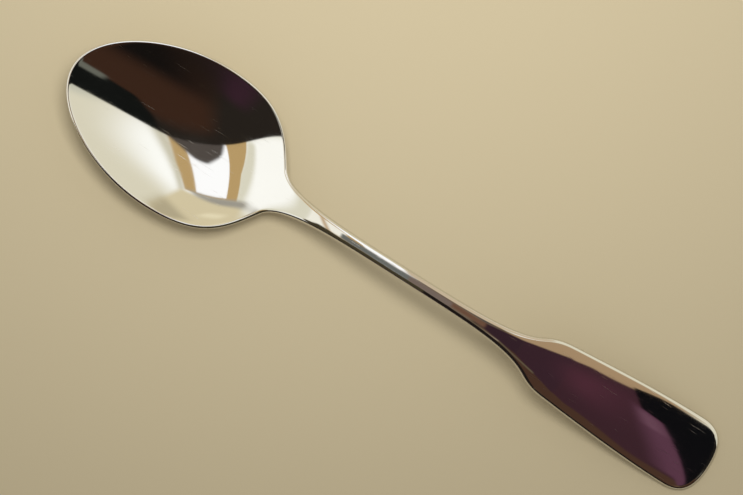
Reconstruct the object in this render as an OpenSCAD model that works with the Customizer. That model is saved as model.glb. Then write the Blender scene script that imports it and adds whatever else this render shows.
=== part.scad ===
// Tablespoon of polished stainless steel with a spade-shaped handle.
// One blank of sheet, cut to the outline and pressed in a die, so the spoon is one piece.
// It lies as on a table: +X runs from the bowl to the handle's end, +Z is up.

/* [Whole spoon] */
// Length from the bowl's tip to the handle's end
overall_length = 205; // [196:1:216]
// Height of the handle's arch above the table
arch_height = 20.4; // [18:0.1:23]
// Place of the arch's top between the neck and the handle's end, as a share
arch_share = 0.35; // [0.3:0.01:0.42]

/* [Bowl] */
// Width of the bowl over its rim
bowl_width = 44.1; // [41:0.1:47]
// Distance of the widest place from the tip
bowl_widest_at = 36.4; // [34:0.1:38]
// Rise from the bowl's floor to its rim, across the widest place
bowl_dish = 9.6; // [8:0.1:11]
// Share of that rise that comes from the round floor, the rest from the steeper sides
bowl_roundness = 0.9; // [0.6:0.05:1]
// How much tighter the bowl bends across at its rear
rear_tightness = 0.25; // [0.1:0.05:0.6]
// Height of the tip's upper face above the table
tip_height = 16; // [14.5:0.1:17.5]
// Distance of the lowest place of the floor from the tip
floor_at = 45; // [43:0.5:47]
// Thickness of the bowl's floor
bowl_wall = 1.8; // [1.4:0.1:2.2]
// Thickness of the rounded rim
rim_thickness = 1.1; // [0.9:0.1:1.3]

/* [Neck] */
// Distance from the tip to the place where the bowl's outline turns into the neck
throat_at = 63.1; // [61.5:0.1:65]
// Width at that place
throat_width = 14.2; // [12.5:0.1:16]
// Angle of the outline there against the spoon's length
throat_angle = 55; // [50:1:58]
// Distance from the tip to the steepest place of the bowl's rear wall
heel_at = 60; // [58.5:0.5:61.5]
// Height of the upper face there
heel_height = 6.2; // [5.6:0.1:6.8]
// Slope of the upper face there
heel_slope = 0.55; // [0.48:0.01:0.62]
// Distance from the tip to the neck
neck_at = 78; // [76:0.5:81]
// Height of the upper face at the neck
neck_height = 14.6; // [13.8:0.1:15.6]
// Slope of the upper face at the neck
neck_slope = 0.35; // [0.3:0.01:0.4]

/* [Stem] */
// Width of the stem at its slimmest place
stem_width = 3.86; // [3.7:0.02:4.4]
// Thickness of the stem's rounded sides
stem_thickness = 2.4; // [2.2:0.1:2.8]
// Place of the slimmest width between the throat and the shoulders, as a share
slim_share = 0.54; // [0.48:0.01:0.6]

/* [Handle] */
// Distance from the handle's end to the steepest place of the shoulders
rise_from_end = 59.4; // [57:0.1:61]
// Width at that place
rise_width = 11.7; // [10.8:0.1:12.6]
// Angle of the shoulders' outline there
rise_angle = 28; // [24:1:32]
// Distance from the handle's end to the place where the shoulders end
shoulder_from_end = 50.8; // [49:0.1:52.5]
// Width where the shoulders end
shoulder_width = 16.6; // [15.8:0.1:17.6]
// Angle of the sides there
shoulder_angle = 5.3; // [4:0.1:7]
// Width at the handle's end
end_width = 21.7; // [19.5:0.1:23]
// Length of the rounded end, from the corners to the middle of the end
end_round = 8.6; // [7:0.1:10]
// Thickness in the middle of the handle
handle_thickness = 2.3; // [2.1:0.1:2.8]
// Thickness of the handle's rounded edge
edge_thickness = 2; // [1.6:0.1:2]
// Drop of the upper face from the middle to the edges, at the shoulders
shoulder_crown = 1.2; // [0.8:0.1:1.4]
// The same drop at the handle's end, which is flatter
end_crown = 0.7; // [0.3:0.1:1.1]
// Slope of the handle at its end
end_slope = 0.17; // [0.1:0.01:0.22]

/* [Hidden] */
steel = [0.80, 0.80, 0.81];

// Rows across the upper face and the back from the middle to the edge, and round the edge
face_rows = 8;
edge_rows = 8;
// Steps along each curve of the outline, from the tip to the handle's end
curve_steps = [16, 18, 14, 14, 5, 10, 10];

// Places along the spoon, from the tip
rise_at = overall_length - rise_from_end;
shoulder_at = overall_length - shoulder_from_end;
corner_at = overall_length - end_round;
slim_at = throat_at + slim_share * (rise_at - throat_at);
arch_at = neck_at + arch_share * (overall_length - neck_at);
// Radii of the rounded edge: rim, stem and handle
stem_land = 0.5;
rim_radius = rim_thickness / 2;
stem_radius = min(stem_thickness, stem_width - stem_land) / 2;
edge_radius = edge_thickness / 2;

// Stretches along the spoon, each with its start and stop, over which one form eases into the next
rear_stretch = [bowl_widest_at - 4, throat_at + 3];
wall_stretch = [throat_at - 13, throat_at + 13];
neck_stretch = [throat_at - 3, throat_at + 21];
crown_stretch = [rise_at - 4, corner_at - 4];
root_stretch = [floor_at + 5, throat_at + 15];
rim_stretch = [throat_at - 7, throat_at + 17];
sheet_stretch = [rise_at - 22, shoulder_at + 6];
edge_stretch = [rise_at - 22, shoulder_at + 2];

// The end touches the table a little inside its corners: distance from the end, share of the crown's drop
touch_from_end = 2.4;
touch_share = 0.51;
// Height of the upper face at the end that this needs
end_height = end_crown * touch_share + edge_thickness - end_slope * touch_from_end;

function mix(a, b, s) = a + (b - a) * s;
function unit(v) = v / norm(v);

// 0 before a stretch, 1 after it, with no step in slope or bend
function ease(x, stretch) =
    let (s = min(1, max(0, (x - stretch[0]) / (stretch[1] - stretch[0]))))
    s * s * s * (s * (6 * s - 15) + 10);

// Curve between two points of the outline, each with a direction and a handle length
function curve(a, a_angle, a_reach, b, b_angle, b_reach) = [
    a,
    a + a_reach * [cos(a_angle), sin(a_angle)],
    b - b_reach * [cos(b_angle), sin(b_angle)],
    b
];
function curve_point(c, t) =
    let (u = 1 - t)
    u * u * u * c[0] + 3 * u * u * t * c[1] + 3 * u * t * t * c[2] + t * t * t * c[3];
function curve_direction(c, t) =
    let (u = 1 - t)
    unit(u * u * (c[1] - c[0]) + 2 * u * t * (c[2] - c[1]) + t * t * (c[3] - c[2]));

// One side of the outline, seen from above: bowl, neck, stem, shoulders, sides and end
tip = [0, 0];
widest = [bowl_widest_at, bowl_width / 2];
throat = [throat_at, throat_width / 2];
slim = [slim_at, stem_width / 2];
rise = [rise_at, rise_width / 2];
shoulder = [shoulder_at, shoulder_width / 2];
corner = [corner_at, end_width / 2];
end = [overall_length, 0];
rear_run = throat.x - widest.x;
neck_run = slim.x - throat.x;
stem_run = rise.x - slim.x;
shoulder_run = shoulder.x - rise.x;
side_run = corner.x - shoulder.x;
outline = [
    curve(tip, 90, 0.52 * widest.y, widest, 0, 0.5 * widest.x),
    curve(widest, 0, 0.64 * rear_run, throat, -throat_angle, 0.66 * (widest.y - throat.y)),
    curve(throat, -throat_angle, 0.155 * neck_run, slim, 0, 0.49 * neck_run),
    curve(slim, 0, 0.59 * stem_run, rise, rise_angle, 0.19 * stem_run),
    curve(rise, rise_angle, 0.43 * shoulder_run, shoulder, shoulder_angle, 0.38 * shoulder_run),
    curve(shoulder, shoulder_angle, 0.32 * side_run, corner, 0, 0.31 * side_run),
    curve(corner, 0, 0.7 * end_round, end, -90, 0.7 * corner.y)
];

// Height between two places that each have a height, a slope and a bend
function profile(x, a, b) =
    let (h = b[0] - a[0], s = (x - a[0]) / h)
    let (c1 = a[2] * h, c2 = a[3] * h * h / 2)
    let (dz = b[1] - a[1] - c1 - c2, ds = b[2] * h - c1 - 2 * c2, db = b[3] * h * h - 2 * c2)
    let (c3 = 10 * dz - 4 * ds + db / 2, c4 = -15 * dz + 7 * ds - db, c5 = 6 * dz - 3 * ds + db / 2)
    a[1] + s * (c1 + s * (c2 + s * (c3 + s * (c4 + s * c5))));

// The upper face along the middle, each place with distance, height, slope and bend
// The front of the bowl is a little flatter than a parabola at the tip and tighter at the floor
parabola_slope = 2 * (tip_height - bowl_wall) / floor_at;
parabola_bend = parabola_slope / floor_at;
heel_bend = 0.006;
neck_bend = -0.012;
arch_bend = -0.0055;
at_tip = [0, tip_height, -0.9 * parabola_slope, 0.75 * parabola_bend];
at_floor = [floor_at, bowl_wall, 0, 2 * parabola_bend];
at_heel = [heel_at, heel_height, heel_slope, heel_bend];
at_neck = [neck_at, neck_height, neck_slope, neck_bend];
at_arch = [arch_at, arch_height, 0, arch_bend];
at_end = [overall_length, end_height, -end_slope, 0];
function middle_height(x) =
    x < floor_at ? profile(x, at_tip, at_floor)
    : x < heel_at ? profile(x, at_floor, at_heel)
    : x < neck_at ? profile(x, at_heel, at_neck)
    : x < arch_at ? profile(x, at_neck, at_arch)
    : profile(x, at_arch, at_end);

// Bend of the upper face across the spoon: hollow in the bowl, crowned on the handle
bowl_reach = bowl_width / 2 - rim_radius;
bowl_bend = bowl_roundness * bowl_dish / pow(bowl_reach, 2);
side_bend = (1 - bowl_roundness) * bowl_dish / pow(bowl_reach, 4);
shoulder_bend = -shoulder_crown / pow(shoulder_width / 2 - edge_radius, 2);
end_bend = -end_crown / pow(end_width / 2 - edge_radius, 2);
function hollow_bend(x) = bowl_bend * (1 + rear_tightness * ease(x, rear_stretch));
function crown_bend(x) = mix(shoulder_bend, end_bend, ease(x, crown_stretch));
function across_bend(x) = mix(hollow_bend(x), crown_bend(x), ease(x, neck_stretch));
function upper_face(x, y) =
    middle_height(x) + across_bend(x) * pow(y, 2) + side_bend * (1 - ease(x, wall_stretch)) * pow(y, 4);

// Direction square to the upper face
near_by = 0.01;
function face_slope_x(x, y) = (upper_face(x + near_by, y) - upper_face(x - near_by, y)) / (2 * near_by);
function face_slope_y(x, y) = (upper_face(x, y + near_by) - upper_face(x, y - near_by)) / (2 * near_by);
function face_normal(x, y) = unit([-face_slope_x(x, y), -face_slope_y(x, y), 1]);

// Thickness in the middle, with a slight swell in the stem, and radius of the rounded edge
stem_swell = 0.3;
function middle_thickness(x) =
    mix(mix(bowl_wall, stem_thickness + stem_swell, ease(x, root_stretch)),
        handle_thickness, ease(x, sheet_stretch));
function edge_round(x) =
    mix(mix(rim_radius, stem_radius, ease(x, rim_stretch)), edge_radius, ease(x, edge_stretch));

// Foot of a rib on the spoon's middle line, leaning inwards at the tip and at the end
tip_lean = 12;
tip_fade = 16;
end_lean = 7;
end_fade = 9;
function foot_of(x) = x + tip_lean * exp(-x / tip_fade) - end_lean * exp((x - overall_length) / end_fade);

// One rib: over the upper face to the edge, round the edge, and along the back to the middle
function rib(c, t) =
    let (
        direction = curve_direction(c, t),
        outer = curve_point(c, t),
        r = edge_round(outer.x),
        away = [-direction.y, direction.x],
        near = outer - r * away,
        lift = face_slope_x(near.x, near.y) * away.x + face_slope_y(near.x, near.y) * away.y,
        side = outer - r * (1 + lift / sqrt(1 + lift * lift)) * away,
        foot = [foot_of(side.x), 0],
        plan = [for (k = [0 : face_rows]) mix(foot, side, k / face_rows)],
        upper = [for (p = plan) [p.x, p.y, upper_face(p.x, p.y)]],
        square = [for (p = plan) face_normal(p.x, p.y)],
        depth = [for (k = [0 : face_rows])
            mix(2 * r, middle_thickness(plan[k].x), pow(1 - pow(k / face_rows, 2), 2))],
        n = square[face_rows],
        rise = face_slope_x(side.x, side.y) * direction.x + face_slope_y(side.x, side.y) * direction.y,
        out = cross(n, unit([direction.x, direction.y, rise])),
        hub = upper[face_rows] - r * n,
        turns = [for (k = [1 : edge_rows - 1]) 180 * k / edge_rows]
    )
    concat(
        upper,
        [for (turn = turns) hub + r * (cos(turn) * n + sin(turn) * out)],
        [for (k = [face_rows : -1 : 0]) upper[k] - depth[k] * square[k]]
    );

module spoon() {
    ribs = concat(
        [for (k = [0 : len(outline) - 1])
            for (i = [0 : curve_steps[k] - 1])
                rib(outline[k], i / curve_steps[k])],
        [rib(outline[len(outline) - 1], 1)]
    );
    last = len(ribs) - 1;
    rows = len(ribs[0]);
    half = [for (r = ribs) for (p = r) p];
    lowest = min([for (p = half) p.z]);
    // The two halves share the points of the middle line and of the first and last rib
    shared = function(i, j) i == 0 || i == last || j == 0 || j == rows - 1;
    right = function(i, j) i * rows + j;
    left = function(i, j) right(i, j) + (shared(i, j) ? 0 : len(half));
    // A cell of four points is split so that no triangle lies flat in the middle plane
    split = function(a, b, c, d, turned) turned ? [[a, b, d], [b, c, d]] : [[a, b, c], [a, c, d]];
    cells = function(at) [
        for (i = [0 : last - 1])
            for (j = [0 : rows - 2])
                let (turned = (i < last / 2) != (j < rows / 2))
                each split(at(i, j), at(i, j + 1), at(i + 1, j + 1), at(i + 1, j), turned)
    ];
    left_faces = cells(left);
    right_faces = [for (f = cells(right)) [f[2], f[1], f[0]]];
    mirrored = [for (p = half) [p.x, -p.y, p.z]];
    skin = concat(mirrored, half);
    color(steel)
        translate([-overall_length / 2, 0, -lowest])
            polyhedron(points = skin, faces = concat(left_faces, right_faces), convexity = 6);
}

spoon();
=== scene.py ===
# A tablespoon of polished stainless steel, lying hollow side up and seen from straight above.
import math

import bmesh
import bpy
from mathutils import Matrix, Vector


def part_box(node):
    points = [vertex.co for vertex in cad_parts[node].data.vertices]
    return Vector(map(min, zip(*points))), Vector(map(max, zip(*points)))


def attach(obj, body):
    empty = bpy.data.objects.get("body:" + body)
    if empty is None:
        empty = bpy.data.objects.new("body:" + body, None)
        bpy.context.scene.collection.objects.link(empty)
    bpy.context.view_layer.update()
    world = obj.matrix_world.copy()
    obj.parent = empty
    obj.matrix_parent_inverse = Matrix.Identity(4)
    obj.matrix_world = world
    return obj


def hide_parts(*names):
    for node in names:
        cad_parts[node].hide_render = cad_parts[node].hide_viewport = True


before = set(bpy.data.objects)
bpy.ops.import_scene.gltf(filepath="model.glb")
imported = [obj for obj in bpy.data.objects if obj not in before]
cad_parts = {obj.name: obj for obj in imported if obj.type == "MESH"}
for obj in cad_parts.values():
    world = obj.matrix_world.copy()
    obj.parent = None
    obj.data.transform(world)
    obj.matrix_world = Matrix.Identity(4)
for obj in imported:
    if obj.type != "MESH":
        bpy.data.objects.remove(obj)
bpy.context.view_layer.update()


# The spoon
# One blank of stainless sheet, rolled thinner at the bowl and cut to its outline. A die presses
# the hollow bowl, the arched stem and the crowned handle in one stroke, and every edge is rounded.

# Sizes and places along the spoon in millimetres, places from the bowl's tip, angles in degrees
MM = 0.001
spoon_low, spoon_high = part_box("spoon")
overall_length = (spoon_high.x - spoon_low.x) / MM
bowl_width = (spoon_high.y - spoon_low.y) / MM
arch_height = (spoon_high.z - spoon_low.z) / MM
arch_at = 122.5
arch_bend = -0.0055
bowl_widest_at = 36.4
bowl_dish = 9.6
bowl_roundness = 0.9
rear_tightness = 0.25
tip_height = 16.0
floor_at = 45.0
bowl_wall = 1.8
rim_radius = 0.55
throat_at = 63.1
throat_width = 14.2
throat_angle = 55.0
heel_at = 60.0
heel_height = 6.2
heel_slope = 0.55
heel_bend = 0.006
neck_at = 78.0
neck_height = 14.6
neck_slope = 0.35
neck_bend = -0.012
stem_width = 3.86
stem_thickness = 2.4
stem_swell = 0.3
stem_radius = stem_thickness / 2
slim_at = 107.7
rise_from_end = 59.4
rise_at = overall_length - rise_from_end
rise_width = 11.7
rise_angle = 28.0
shoulder_from_end = 50.8
shoulder_at = overall_length - shoulder_from_end
shoulder_width = 16.6
shoulder_angle = 5.3
shoulder_crown = 1.2
handle_thickness = 2.3
edge_radius = 1.0
end_round = 8.6
end_width = 21.7
end_crown = 0.7
end_slope = 0.17
corner_at = overall_length - end_round

# The end touches the table a little inside its corners, which sets the height of its upper face
touch_from_end = 2.4
touch_share = 0.51
end_height = end_crown * touch_share + 2 * edge_radius - end_slope * touch_from_end

# Stretches along the spoon, each with its start and stop, over which one form eases into the next
rear_stretch = (bowl_widest_at - 4, throat_at + 3)
wall_stretch = (throat_at - 13, throat_at + 13)
neck_stretch = (throat_at - 3, throat_at + 21)
crown_stretch = (rise_at - 4, corner_at - 4)
root_stretch = (floor_at + 5, throat_at + 15)
rim_stretch = (throat_at - 7, throat_at + 17)
sheet_stretch = (rise_at - 22, shoulder_at + 6)
edge_stretch = (rise_at - 22, shoulder_at + 2)


def ease(x, stretch):
    """0 before a stretch, 1 after it, with no step in slope or bend."""
    start, stop = stretch
    s = min(1.0, max(0.0, (x - start) / (stop - start)))
    return s * s * s * (s * (6 * s - 15) + 10)


def mix(a, b, share):
    return a + (b - a) * share


def outline_curve(start, start_angle, stop, stop_angle, reaches):
    """Four points of a curve between two places, each with a direction and a reach along it."""
    a, b = Vector(start), Vector(stop)
    leave, arrive = math.radians(start_angle), math.radians(stop_angle)
    return (
        a,
        a + reaches[0] * Vector((math.cos(leave), math.sin(leave))),
        b - reaches[1] * Vector((math.cos(arrive), math.sin(arrive))),
        b,
    )


# One side of the blank's outline: bowl, neck, stem, shoulders, sides and bowed end
tip = (0, 0)
widest = (bowl_widest_at, bowl_width / 2)
throat = (throat_at, throat_width / 2)
slim = (slim_at, stem_width / 2)
rise = (rise_at, rise_width / 2)
shoulder = (shoulder_at, shoulder_width / 2)
corner = (corner_at, end_width / 2)
end = (overall_length, 0)
front_reaches = (0.52 * widest[1], 0.5 * widest[0])
rear_reaches = (17.1, 9.9)
neck_reaches = (6.9, 21.8)
stem_reaches = (22.4, 7.2)
shoulder_reaches = (3.7, 3.3)
side_reaches = (13.5, 13.1)
end_reaches = (0.7 * end_round, 0.7 * corner[1])
outline = [
    outline_curve(tip, 90, widest, 0, front_reaches),
    outline_curve(widest, 0, throat, -throat_angle, rear_reaches),
    outline_curve(throat, -throat_angle, slim, 0, neck_reaches),
    outline_curve(slim, 0, rise, rise_angle, stem_reaches),
    outline_curve(rise, rise_angle, shoulder, shoulder_angle, shoulder_reaches),
    outline_curve(shoulder, shoulder_angle, corner, 0, side_reaches),
    outline_curve(corner, 0, end, -90, end_reaches),
]
# Share of the stations that lie before each curve ends
outline_shares = [0.2, 0.42, 0.58, 0.72, 0.79, 0.89, 1.0]


def outline_at(station):
    """Place and direction on the outline, for a station from 0 at the tip to 1 at the end."""
    first = 0.0
    for curve, last in zip(outline, outline_shares):
        if station <= last:
            break
        first = last
    t = min(1.0, (station - first) / (last - first))
    u = 1 - t
    a, b, c, d = curve
    place = u**3 * a + 3 * u * u * t * b + 3 * u * t * t * c + t**3 * d
    direction = u * u * (b - a) + 2 * u * t * (c - b) + t * t * (d - c)
    return place, direction.normalized()


# The die's lengthwise profile along the middle: distance, height, slope and bend
# The bowl's front is a little flatter than a parabola at the tip and tighter at the floor
parabola_slope = 2 * (tip_height - bowl_wall) / floor_at
parabola_bend = parabola_slope / floor_at
profile = [
    (0.0, tip_height, -0.9 * parabola_slope, 0.75 * parabola_bend),
    (floor_at, bowl_wall, 0.0, 2 * parabola_bend),
    (heel_at, heel_height, heel_slope, heel_bend),
    (neck_at, neck_height, neck_slope, neck_bend),
    (arch_at, arch_height, 0.0, arch_bend),
    (overall_length, end_height, -end_slope, 0.0),
]


def middle_height(x):
    """Height of the upper face on the middle line."""
    for a, b in zip(profile, profile[1:]):
        if x < b[0]:
            break
    h = b[0] - a[0]
    s = (x - a[0]) / h
    c1, c2 = a[2] * h, a[3] * h * h / 2
    dz = b[1] - a[1] - c1 - c2
    ds = b[2] * h - c1 - 2 * c2
    db = b[3] * h * h - 2 * c2
    c3 = 10 * dz - 4 * ds + db / 2
    c4 = -15 * dz + 7 * ds - db
    c5 = 6 * dz - 3 * ds + db / 2
    return a[1] + s * (c1 + s * (c2 + s * (c3 + s * (c4 + s * c5))))


# Bend of the upper face across the spoon
bowl_reach = bowl_width / 2 - rim_radius
bowl_bend = bowl_roundness * bowl_dish / bowl_reach**2
side_bend = (1 - bowl_roundness) * bowl_dish / bowl_reach**4
shoulder_bend = -shoulder_crown / (shoulder_width / 2 - edge_radius) ** 2
end_bend = -end_crown / (end_width / 2 - edge_radius) ** 2


def upper_face(x, y):
    """Height of the upper face: hollow across the bowl, crowned across the handle."""
    hollow = bowl_bend * (1 + rear_tightness * ease(x, rear_stretch))
    crown = mix(shoulder_bend, end_bend, ease(x, crown_stretch))
    across = mix(hollow, crown, ease(x, neck_stretch))
    sides = side_bend * (1 - ease(x, wall_stretch))
    return middle_height(x) + across * y * y + sides * y**4


def face_slopes(x, y, step=0.01):
    """Slopes of the upper face along and across the spoon."""
    return (
        (upper_face(x + step, y) - upper_face(x - step, y)) / (2 * step),
        (upper_face(x, y + step) - upper_face(x, y - step)) / (2 * step),
    )


def middle_thickness(x):
    """The sheet is thin in the bowl, thickest in the stem, thinner again in the handle."""
    root = mix(bowl_wall, stem_thickness + stem_swell, ease(x, root_stretch))
    return mix(root, handle_thickness, ease(x, sheet_stretch))


def edge_round(x):
    """Radius of the rounded edge: fine at the rim, full at the stem."""
    root = mix(rim_radius, stem_radius, ease(x, rim_stretch))
    return mix(root, edge_radius, ease(x, edge_stretch))


# Ribs lean inwards at both ends of the spoon, by this much at most and fading over this distance
tip_lean = 12
tip_fade = 16
end_lean = 7
end_fade = 9


def foot_on_middle(x):
    """Where the rib that ends at x starts on the middle line."""
    at_tip = tip_lean * math.exp(-x / tip_fade)
    at_end = end_lean * math.exp((x - overall_length) / end_fade)
    return x + at_tip - at_end


# Rows of the blank from the middle of the upper face, round the edge, to the middle of the back
stations = 360
face_rows = 20
edge_rows = 12
girth_rows = 2 * face_rows + edge_rows


def pressed_rib(station):
    """One rib of the pressed spoon, from the middle line over the edge to the back."""
    outer, direction = outline_at(station)
    r = edge_round(outer.x)
    away = Vector((-direction.y, direction.x))
    slopes = face_slopes(*(outer - r * away))
    lift = slopes[0] * away.x + slopes[1] * away.y
    side = outer - r * (1 + lift / math.hypot(1, lift)) * away
    foot = Vector((foot_on_middle(side.x), 0))
    upper, back = [], []
    for row in range(face_rows + 1):
        share = row / face_rows
        p = foot.lerp(side, share)
        slope_x, slope_y = face_slopes(p.x, p.y)
        square = Vector((-slope_x, -slope_y, 1)).normalized()
        top = Vector((p.x, p.y, upper_face(p.x, p.y)))
        depth = mix(2 * r, middle_thickness(p.x), (1 - share * share) ** 2)
        upper.append(top)
        back.append(top - depth * square)
    climb = slope_x * direction.x + slope_y * direction.y
    along = Vector((direction.x, direction.y, climb)).normalized()
    out = square.cross(along)
    hub = upper[-1] - r * square
    turns = [math.pi * k / edge_rows for k in range(1, edge_rows)]
    edge = [hub + r * (math.cos(a) * square + math.sin(a) * out) for a in turns]
    return upper + edge + back[::-1]


# Half of the blank is a flat grid, pressed rib by rib and then mirrored over the middle line
grid_half = 0.5
weld_distance = 1e-7
spoon_mesh = bmesh.new()
bmesh.ops.create_grid(spoon_mesh, x_segments=stations, y_segments=girth_rows, size=grid_half)
ribs = [pressed_rib(k / stations) for k in range(stations + 1)]
lowest = min(p.z for rib in ribs for p in rib)
for vertex in spoon_mesh.verts:
    station = round((vertex.co.x + grid_half) * stations)
    row = round((vertex.co.y + grid_half) * girth_rows)
    p = ribs[station][row]
    vertex.co = (spoon_low.x + p.x * MM, p.y * MM, spoon_low.z + (p.z - lowest) * MM)
whole = spoon_mesh.verts[:] + spoon_mesh.edges[:] + spoon_mesh.faces[:]
bmesh.ops.mirror(spoon_mesh, geom=whole, axis="Y", merge_dist=weld_distance)
bmesh.ops.remove_doubles(spoon_mesh, verts=spoon_mesh.verts[:], dist=weld_distance)
bmesh.ops.recalc_face_normals(spoon_mesh, faces=spoon_mesh.faces[:])
for face in spoon_mesh.faces:
    face.smooth = True

# The polish: a warm grey, duller in smears, along the buffing lines and most in the scratches
steel_grey = (0.735, 0.718, 0.690, 1)
steel_pale = (0.765, 0.752, 0.728, 1)
clean_roughness = 0.035
smeared_roughness = 0.065
line_roughness = 0.012
scratch_roughness = 0.22
wave_depth = 0.00002
buffing_depth = 0.000001
# Waves a metre along X, Y and Z of each pattern in the polish, and the span of it that shows
patch_waves = (60.0, 90.0, 90.0)
buffed_waves = (42.0, 60.0, 60.0)
smear_waves = (38.0, 52.0, 52.0)
smear_span = (0.35, 0.70)
line_waves = (25.0, 1500.0, 1500.0)
line_span = (0.3, 0.7)
scratch_span = (0.80, 0.86)
# Scratches run in three directions: the turn of each, and its waves a metre along and across
scratch_sets = [(0.35, 150.0, 4600.0), (-0.8, 150.0, 5400.0), (1.4, 150.0, 5000.0)]


def combined(tree, operation, a, b):
    """Two values of a node tree joined by one step of arithmetic."""
    step = tree.nodes.new("ShaderNodeMath")
    step.operation = operation
    tree.links.new(a, step.inputs[0])
    tree.links.new(b, step.inputs[1])
    return step.outputs["Value"]


def blended(tree, share, first, second):
    """A colour between two by the share given; each is a plain colour or comes from a node."""
    blend = tree.nodes.new("ShaderNodeMix")
    blend.data_type = "RGBA"
    tree.links.new(share, blend.inputs["Factor"])
    for name, colour in [("A", first), ("B", second)]:
        if isinstance(colour, tuple):
            blend.inputs[name].default_value = colour
        else:
            tree.links.new(colour, blend.inputs[name])
    return blend.outputs["Result"]


def polished_steel():
    """Mirror-polished stainless steel with faint polishing lines, hairline scratches and smears."""
    steel = bpy.data.materials.new("polished_stainless_steel")
    steel.use_nodes = True
    tree = steel.node_tree
    nodes, links = tree.nodes, tree.links
    shader = nodes["Principled BSDF"]
    shader.inputs["Metallic"].default_value = 1.0
    place = nodes.new("ShaderNodeTexCoord").outputs["Object"]

    def cloud(waves, detail, turn=0.0):
        """Soft noise with that many waves a metre along each axis, turned about Z."""
        mapping = nodes.new("ShaderNodeMapping")
        mapping.inputs["Rotation"].default_value = (0, 0, turn)
        mapping.inputs["Scale"].default_value = waves
        links.new(place, mapping.inputs["Vector"])
        noise = nodes.new("ShaderNodeTexNoise")
        noise.inputs["Scale"].default_value = 1.0
        noise.inputs["Detail"].default_value = detail
        links.new(mapping.outputs["Vector"], noise.inputs["Vector"])
        return noise.outputs["Fac"]

    def spread(value, span, low, high):
        """That span of a value, spread from low to high and held there beyond it."""
        spreader = nodes.new("ShaderNodeMapRange")
        spreader.inputs["From Min"].default_value = span[0]
        spreader.inputs["From Max"].default_value = span[1]
        spreader.inputs["To Min"].default_value = low
        spreader.inputs["To Max"].default_value = high
        links.new(value, spreader.inputs["Value"])
        return spreader.outputs["Result"]

    # Hairline scratches, short and thin
    scratches = None
    for turn, along, across in scratch_sets:
        hairs = spread(cloud((along, across, along), 0.0, turn), scratch_span, 0.0, 1.0)
        scratches = hairs if scratches is None else combined(tree, "MAXIMUM", scratches, hairs)

    # Smears and lines dull the polish a little, scratches more
    smears = spread(cloud(smear_waves, 3.0), smear_span, clean_roughness, smeared_roughness)
    lines = spread(cloud(line_waves, 2.0), line_span, 0.0, line_roughness)
    scratched = spread(scratches, (0.0, 1.0), 0.0, scratch_roughness)
    dull = combined(tree, "ADD", combined(tree, "ADD", smears, lines), scratched)
    links.new(dull, shader.inputs["Roughness"])

    # The grey is a trace paler in soft patches
    tint = blended(tree, cloud(patch_waves, 2.0), steel_grey, steel_pale)
    links.new(tint, shader.inputs["Base Color"])

    # The buffed face waves very slightly, and the buffing wheel leaves fine lines along the spoon
    waves = nodes.new("ShaderNodeBump")
    waves.inputs["Distance"].default_value = wave_depth
    links.new(cloud(buffed_waves, 1.0), waves.inputs["Height"])
    buffing = nodes.new("ShaderNodeBump")
    buffing.inputs["Distance"].default_value = buffing_depth
    links.new(combined(tree, "ADD", lines, scratches), buffing.inputs["Height"])
    links.new(waves.outputs["Normal"], buffing.inputs["Normal"])
    links.new(buffing.outputs["Normal"], shader.inputs["Normal"])
    return steel


def made_of(name, mesh, material):
    """A finished mesh as an object of the scene, made of that material."""
    data = bpy.data.meshes.new(name)
    mesh.to_mesh(data)
    mesh.free()
    data.materials.append(material)
    made = bpy.data.objects.new(name, data)
    bpy.context.scene.collection.objects.link(made)
    return made


spoon = made_of("tablespoon", spoon_mesh, polished_steel())
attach(spoon, "root")
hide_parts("spoon")


# The table
# A plain matt sheet of warm pale board that the spoon lies on.
# It is a tenth of a millimetre lower than the spoon, so that the two never share a plane.
board_colour = (0.58, 0.495, 0.325, 1)
table_reach = 3.0
table_gap = 0.0001


def matt_board():
    board = bpy.data.materials.new("matt_board")
    board.use_nodes = True
    shader = board.node_tree.nodes["Principled BSDF"]
    shader.inputs["Base Color"].default_value = board_colour
    shader.inputs["Roughness"].default_value = 0.9
    shader.inputs["Specular IOR Level"].default_value = 0.2
    return board


def level_sheet(reach, middle):
    """A level square of one face, with that reach from its middle to each side."""
    sheet = bmesh.new()
    bmesh.ops.create_grid(sheet, x_segments=1, y_segments=1, size=reach)
    bmesh.ops.translate(sheet, vec=middle, verts=sheet.verts[:])
    return sheet


table_middle = Vector((0, 0, spoon_low.z - table_gap))
table = made_of("table", level_sheet(table_reach, table_middle), matt_board())


# The room
# A pale studio that the polish mirrors: a softbox in a wooden frame, bright walls, a cream board,
# a dark flag overhead and a dark curtain on the near side. An even dome lights the table instead.

# Each panel is given by corners, in metres along X and Y, one metre above the spoon
panel_height = 1.0
softbox = [(-1.10, 1.04), (-0.25, 1.19), (0.32, 0.03), (-0.04, -0.40)]
softbox_ledge = [(-2.10, 0.98), (-0.10, 1.21), (-0.24, 1.37), (-1.20, 1.60), (-2.50, 1.52)]
frame_low = [(0.40, 0.03), (0.24, 0.59), (-0.06, 1.28), (-1.64, 1.10), (-0.77, 0.02)]
frame_high = [(0.40, 0.10), (-0.82, 0.10), (-0.54, -0.68), (-0.40, -1.00)]
cream_board = [(-2.20, 1.40), (0.00, 1.35), (1.45, 30.0), (-26.0, 30.0)]
cream_far = [(0.10, 2.60), (-1.50, 5.40), (-13.0, 30.0), (1.45, 30.0)]
cream_glow = [(-1.50, 2.80), (-2.60, 2.70), (-3.00, 4.00), (-1.60, 4.00)]
bright_wall = [(-30.0, -32.0), (-0.40, -0.75), (-1.80, 1.10), (-30.0, 20.0)]
bright_corner = [
    (-0.60, -0.30), (0.45, -0.10), (0.68, 0.36), (0.66, 0.95), (0.48, 1.75), (-0.60, 2.00)
]
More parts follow.
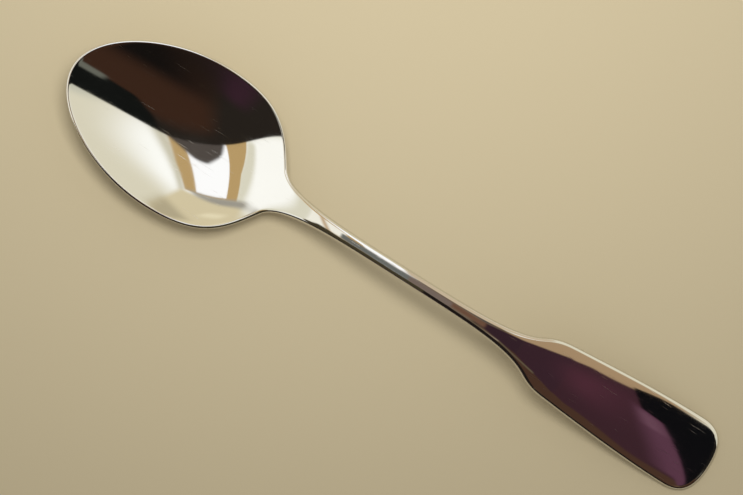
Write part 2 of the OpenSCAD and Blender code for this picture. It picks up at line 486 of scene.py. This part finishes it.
shaded_wall = [(-0.10, 1.40), (0.40, 0.02), (0.50, 0.12), (0.31, 0.66), (0.02, 1.50)]
shaded_side = [(-1.64, 1.10), (-0.80, 0.04), (-0.50, -0.80), (-0.85, -0.95), (-2.00, 1.20)]
tip_wall = [(0.75, 0.26), (2.00, 0.50), (2.00, 0.80), (0.95, 0.55)]
overhead_flag = [
    (-0.02, -0.60), (0.60, 0.00), (0.33, 0.21), (0.12, 0.30), (-0.03, 0.25), (-0.13, -0.05)
]
curtain = [(-30.0, -32.0), (0.37, 0.19), (30.0, 8.80), (30.0, -90.0), (-30.0, -90.0)]
curtain_brown = [
    (0.10, -0.35), (0.42, 0.02), (1.40, -0.13), (4.00, -1.20), (4.00, -12.0), (2.10, -12.0)
]
curtain_plum = [(-0.30, -1.90), (0.25, -1.90), (1.40, -12.0), (-3.00, -12.0)]
curtain_depth = [(0.30, -1.00), (1.30, -0.80), (6.00, -0.80), (6.00, -30.0), (2.50, -30.0)]
curtain_shade = [(0.40, 0.20), (1.10, 0.40), (1.10, -0.18), (0.58, -0.17), (0.44, 0.02)]
pale_bar = [(0.80, -0.21), (1.08, -0.20), (1.10, -0.06), (0.82, -0.10)]
wood_colour = (0.62, 0.43, 0.19, 1)
wall_colour = (0.90, 0.86, 0.68, 1)
dome_colour = (0.41, 0.40, 0.38, 1)
backdrop_colour = (0.60, 0.52, 0.35, 1)


def panel_share(tree, where, height, corners, softness):
    """1 where a vector points inside a panel with corners at that height, 0 outside, soft between."""
    points = [Vector((x, y, height)) for x, y in corners]
    middle = sum(points, Vector()) / len(points)
    share = None
    for start, stop in zip(points, points[1:] + points[:1]):
        inwards = start.cross(stop).normalized()
        if inwards.dot(middle) < 0:
            inwards.negate()
        reach = tree.nodes.new("ShaderNodeVectorMath")
        reach.operation = "DOT_PRODUCT"
        reach.inputs[1].default_value = inwards
        tree.links.new(where, reach.inputs[0])
        edge = tree.nodes.new("ShaderNodeMapRange")
        edge.interpolation_type = "SMOOTHSTEP"
        edge.inputs["From Min"].default_value = -softness
        edge.inputs["From Max"].default_value = softness
        tree.links.new(reach.outputs["Value"], edge.inputs["Value"])
        within = edge.outputs["Result"]
        share = within if share is None else combined(tree, "MULTIPLY", share, within)
    return share


def studio_world():
    world = bpy.data.worlds.new("studio")
    world.use_nodes = True
    tree = world.node_tree
    nodes, links = tree.nodes, tree.links
    direction = nodes.new("ShaderNodeTexCoord").outputs["Generated"]
    room = wall_colour
    for corners, colour, softness in [
        (bright_wall, (1.27, 1.28, 1.23, 1), 0.12),
        (tip_wall, (0.70, 0.70, 0.58, 1), 0.08),
        (bright_corner, (1.29, 1.31, 1.27, 1), 0.22),
        (shaded_wall, (0.78, 0.75, 0.60, 1), 0.05),
        (shaded_side, (0.90, 0.88, 0.72, 1), 0.07),
        (cream_board, (0.85, 0.75, 0.50, 1), 0.04),
        (cream_far, (0.58, 0.51, 0.34, 1), 0.08),
        (cream_glow, (1.02, 0.93, 0.65, 1), 0.05),
        (frame_low, wood_colour, 0.01),
        (frame_high, wood_colour, 0.01),
        (softbox, (1.30, 1.32, 1.35, 1), 0.008),
        (softbox_ledge, (0.44, 0.42, 0.36, 1), 0.05),
        (overhead_flag, (0.10, 0.085, 0.075, 1), 0.04),
        (curtain, (0.024, 0.019, 0.015, 1), 0.012),
        (curtain_plum, (0.044, 0.019, 0.029, 1), 0.12),
        (curtain_brown, (0.052, 0.024, 0.014, 1), 0.12),
        (curtain_depth, (0.009, 0.007, 0.006, 1), 0.20),
        (curtain_shade, (0.008, 0.009, 0.008, 1), 0.025),
        (pale_bar, (0.17, 0.175, 0.145, 1), 0.02),
    ]:
        share = panel_share(tree, direction, panel_height, corners, softness)
        room = blended(tree, share, room, colour)

    # The polish sees the room, the matt board an even dome and the camera a plain pale backdrop
    ray = nodes.new("ShaderNodeLightPath").outputs
    light = blended(tree, ray["Is Glossy Ray"], dome_colour, room)
    shown = blended(tree, ray["Is Camera Ray"], light, backdrop_colour)
    links.new(shown, nodes["Background"].inputs["Color"])
    return world


bpy.context.scene.world = studio_world()


# The card
# A thin card that glows in flat painted shapes, clear between them, and hangs level over the handle.
# Its shapes are painted reflections for the stem and handle. Only reflections show it: it throws no
# shadow and no light on the table.

# Corners of the painted shapes, in millimetres from the spoon's middle
card_height = 40
card_middle = 40
card_reach = 100
card_end = [(-80, 60), (-30, 60), (-30, -6), (-80, -6)]
card_tan = [(38, 4), (58, 20), (70, 30), (82, 33.5), (94, 33), (124, 24.5), (90, 0)]
card_cream = [(0, 3.5), (30, 5), (62, 24), (62, 90), (0, 90)]
card_white = [(-55, 6), (-28, 4), (-28, -2.4), (-55, -4)]
card_batten = [(-50, 6), (-46.5, 6), (-35.5, -4), (-39.5, -4)]
card_brown = [(15, -1.5), (128, -12), (128, -34), (90, -37), (60, -30), (15, -6)]
card_dark = [(-54.5, -8), (-52, -4.4), (-46, -2.6), (10, -2.6), (10, -50), (-54.5, -50)]
card_plum = [(72, 16), (86, 20.5), (106, 19), (128, -18.5), (84, -23), (72, -18.5)]
card_plum_middle = [(49, 6.5), (76, 18), (76, -20.5), (49, -6.2)]
card_plum_tail = [(26, 0.8), (50, 6.8), (50, -6.4), (26, -1.2)]
card_rose = [(78, 14), (100, 16), (106, 0), (90, -10), (72, 0)]
card_lilac = [(107, 10), (112, 9), (128, -18), (119, -18)]
card_black = [(103, 20.6), (128, 21.4), (128, -24), (125, -22)]
card_lobe = [(108.6, 9.4), (114.5, 7.4), (117.5, 1), (125, -16), (126, -22), (124.6, -22)]
card_bloom = [(108.5, 8), (112.5, 7.2), (115.5, 1.5), (112, 1)]
card_flank = [(8, -3.2), (18, -3.9), (44, -8.4), (60, -20), (70, -34), (70, -60), (8, -60)]
card_glint = [(8, -1.2), (40, -4.1), (40, -5.0), (8, -2.4)]
card_glint_end = [(40, -4.1), (62, -12.4), (62, -13.6), (40, -5.0)]
card_russet = [(14, 1.8), (32, 2.0), (32, -1.6), (14, -1.8)]
card_umber = [(-2, 1.6), (18, 1.6), (18, -2.2), (-2, -2.4)]
card_grey = [(-31, 1.6), (2, 1.4), (2, -2.6), (-31, -2.6)]
tan_colour = (0.48, 0.33, 0.19, 1)
pale_end_colour = (0.95, 0.93, 0.80, 1)
lilac_colour = (0.125, 0.050, 0.082, 1)


# The card glows with painted reflections: each shape is coloured for what the stem or handle mirrors
# there
def painted_reflection_card():
    card = bpy.data.materials.new("painted_reflection_card")
    card.use_nodes = True
    tree = card.node_tree
    nodes, links = tree.nodes, tree.links
    nodes.remove(nodes["Principled BSDF"])
    scaled = nodes.new("ShaderNodeVectorMath")
    scaled.operation = "SCALE"
    scaled.inputs["Scale"].default_value = 1 / MM
    links.new(nodes.new("ShaderNodeTexCoord").outputs["Object"], scaled.inputs[0])
    place = scaled.outputs["Vector"]

    # The tan is the ground; the pale end shows only through the soft edges of what covers it
    covered = panel_share(tree, place, card_height, card_tan, 2.0)
    pale_end = panel_share(tree, place, card_height, card_end, 1.0)
    paint = blended(tree, pale_end, tan_colour, pale_end_colour)
    for corners, colour, softness in [
        (card_cream, (0.72, 0.59, 0.42, 1), 2.0),
        (card_white, (1.13, 1.11, 1.00, 1), 1.6),
        (card_batten, (0.66, 0.48, 0.30, 1), 1.2),
        (card_brown, (0.080, 0.040, 0.025, 1), 0.8),
        (card_dark, (0.060, 0.050, 0.027, 1), 0.5),
        (card_plum, (0.054, 0.022, 0.030, 1), 0.6),
        (card_plum_middle, (0.048, 0.021, 0.030, 1), 0.6),
        (card_plum_tail, (0.042, 0.020, 0.028, 1), 0.6),
        (card_rose, (0.092, 0.030, 0.046, 1), 8.0),
        (card_lilac, lilac_colour, 1.3),
        (card_black, (0.005, 0.005, 0.006, 1), 0.15),
        (card_lobe, lilac_colour, 0.2),
        (card_bloom, (0.185, 0.085, 0.125, 1), 1.0),
        (card_flank, (0.014, 0.011, 0.009, 1), 0.5),
        (card_glint, (0.32, 0.26, 0.19, 1), 0.4),
        (card_glint_end, (0.15, 0.12, 0.075, 1), 0.5),
        (card_russet, (0.18, 0.095, 0.060, 1), 0.8),
        (card_umber, (0.215, 0.165, 0.140, 1), 0.8),
        (card_grey, (0.18, 0.19, 0.18, 1), 0.8),
    ]:
        share = panel_share(tree, place, card_height, corners, softness)
        paint = blended(tree, share, paint, colour)
        covered = combined(tree, "MAXIMUM", covered, share)
    glow = nodes.new("ShaderNodeEmission")
    links.new(paint, glow.inputs["Color"])
    clear = nodes.new("ShaderNodeBsdfTransparent")
    sheet = nodes.new("ShaderNodeMixShader")
    links.new(covered, sheet.inputs["Fac"])
    links.new(clear.outputs["BSDF"], sheet.inputs[1])
    links.new(glow.outputs["Emission"], sheet.inputs[2])
    links.new(sheet.outputs["Shader"], nodes["Material Output"].inputs["Surface"])
    card.cycles.emission_sampling = "NONE"
    return card


card_place = Vector((card_middle, 0, card_height)) * MM
card = made_of("card", level_sheet(card_reach * MM, card_place), painted_reflection_card())
card.visible_camera = False
card.visible_diffuse = False
card.visible_shadow = False


# The lamp
# A soft lamp above the far side of the bowl, turned outwards so that the table darkens towards
# the near side. It gives the spoon its soft shadow, and no reflection shows it.
lamp_aim = Vector((-0.224, 0.355, 0.0))
lamp_data = bpy.data.lights.new("soft_lamp", "AREA")
lamp_data.shape = "RECTANGLE"
lamp_data.size = 0.12
lamp_data.size_y = 0.18
lamp_data.energy = 1.30
lamp = bpy.data.objects.new("soft_lamp", lamp_data)
lamp.location = (-0.048, 0.076, 0.36)
lamp.rotation_euler = (lamp_aim - lamp.location).to_track_quat("-Z", "Y").to_euler()
lamp.visible_camera = False
lamp.visible_glossy = False
bpy.context.scene.collection.objects.link(lamp)


# The camera
# It stands straight above the stem, turned so that the handle runs down to the right.
# Its lens follows from the picture's width and its focal length, both in pixels.
camera_height = 0.430
camera_from_tip = 0.0937
camera_aside = 0.00146
camera_turn = math.radians(32.3)
picture_width = 743
focal_pixels = 1549
sensor_width = 36.0
camera_data = bpy.data.cameras.new("camera")
camera_data.sensor_width = sensor_width
camera_data.lens = sensor_width * focal_pixels / picture_width
camera = bpy.data.objects.new("camera", camera_data)
camera.location = (spoon_low.x + camera_from_tip, camera_aside, camera_height)
camera.rotation_euler = (0, 0, camera_turn)
bpy.context.scene.collection.objects.link(camera)
bpy.context.scene.camera = camera
bpy.context.scene.view_settings.view_transform = "Standard"
